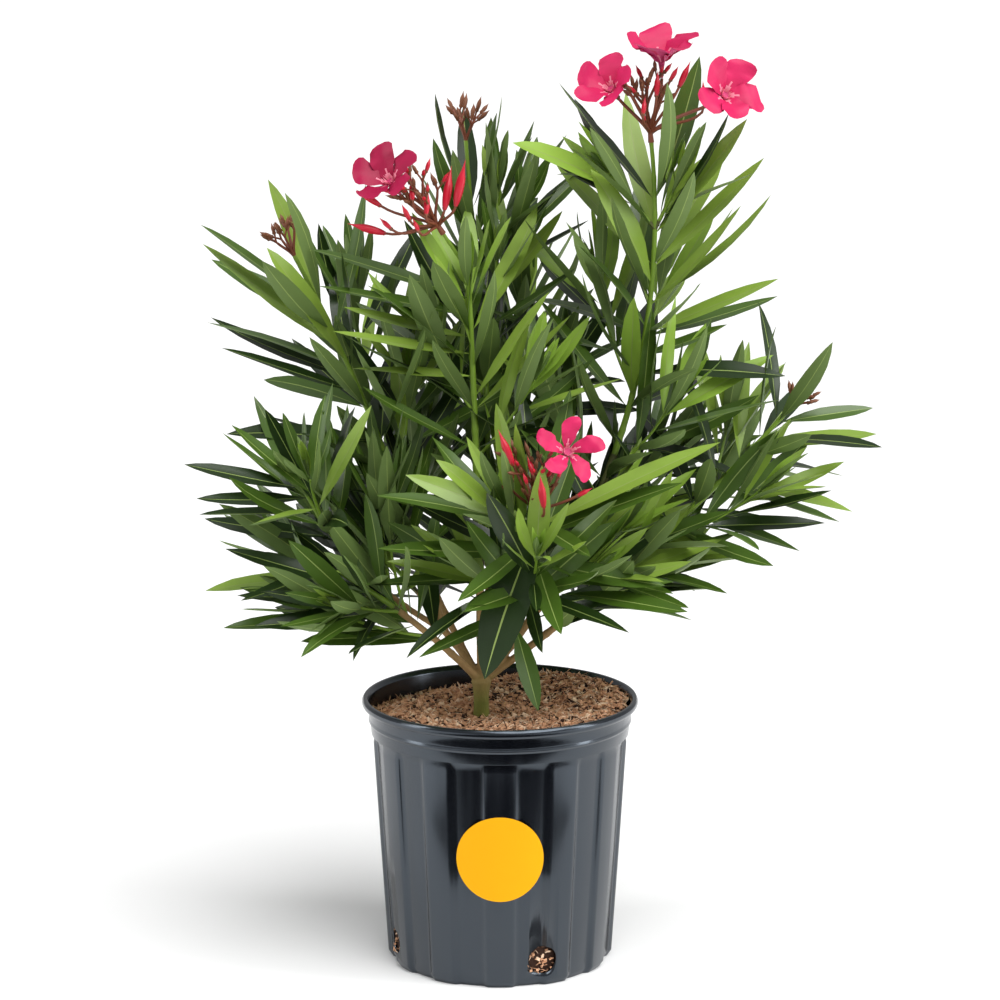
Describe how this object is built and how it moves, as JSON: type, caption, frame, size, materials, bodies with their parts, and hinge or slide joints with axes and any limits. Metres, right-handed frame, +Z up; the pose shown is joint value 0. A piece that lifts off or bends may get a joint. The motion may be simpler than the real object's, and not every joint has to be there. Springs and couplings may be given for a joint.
{
  "type": "potted oleander",
  "caption": "Potted oleander: an open, many-stemmed evergreen shrub with whorls of narrow leaves and pink flower heads, in a fluted round nursery pot.",
  "frame": {"origin": "centre of the pot's flat underside", "axes": "+Z up, front of the plant towards -Y, +X to the right seen from the front"},
  "size_m": [0.616, 0.4297, 0.8658],
  "materials": {
    "pot": "blow-moulded black plastic, satin to glossy",
    "soil": "coarse reddish-brown bark mix",
    "bark": "thin mottled green-brown bark",
    "leaf": "leathery dark green leaves with a pale midrib",
    "blossom": "soft hot-pink petals, crimson buds and red-brown stalks",
    "label": "plain round yellow film label on the pot"
  },
  "bodies": {
    "root": {"pot": "pot", "soil": "soil", "trunk": "bark", "bough_left_low": "bark", "bough_left": "bark", "bough_left_high": "bark", "bough_left_out": "bark", "bough_middle": "bark", "bough_leader": "bark", "bough_front": "bark", "bough_right": "bark", "bough_rear_right": "bark", "bough_rear": "bark", "bough_rear_left": "bark", "bough_low_rear_left": "bark", "bough_low_rear_right": "bark", "flower_head_top": "blossom", "flower_head_left": "blossom", "flower_head_front": "blossom", "leaves_top_left": "leaf", "leaves_top_right": "leaf", "leaves_left_tip": "leaf", "leaves_left_low": "leaf", "leaves_right_tip": "leaf", "leaves_front": "leaf", "leaves_left_high": "leaf", "leaves_leader_high": "leaf", "leaves_middle_high": "leaf", "leaves_rear_high": "leaf", "leaves_rear_top": "leaf", "leaves_rear_left_top": "leaf", "leaves_rear_right_tip": "leaf", "leaves_rear_tip": "leaf", "leaves_low_rear_left": "leaf", "leaves_low_rear_right": "leaf", "leaves_right": "leaf", "leaves_left_middle": "leaf", "leaves_leader": "leaf", "leaves_middle": "leaf", "leaves_rear_left": "leaf", "leaves_rear_middle": "leaf", "leaves_right_low": "leaf", "leaves_leader_low": "leaf", "leaves_middle_low": "leaf", "leaves_rear_right": "leaf", "leaves_rear": "leaf", "leaves_rear_left_low": "leaf"}
  },
  "joints": []
}
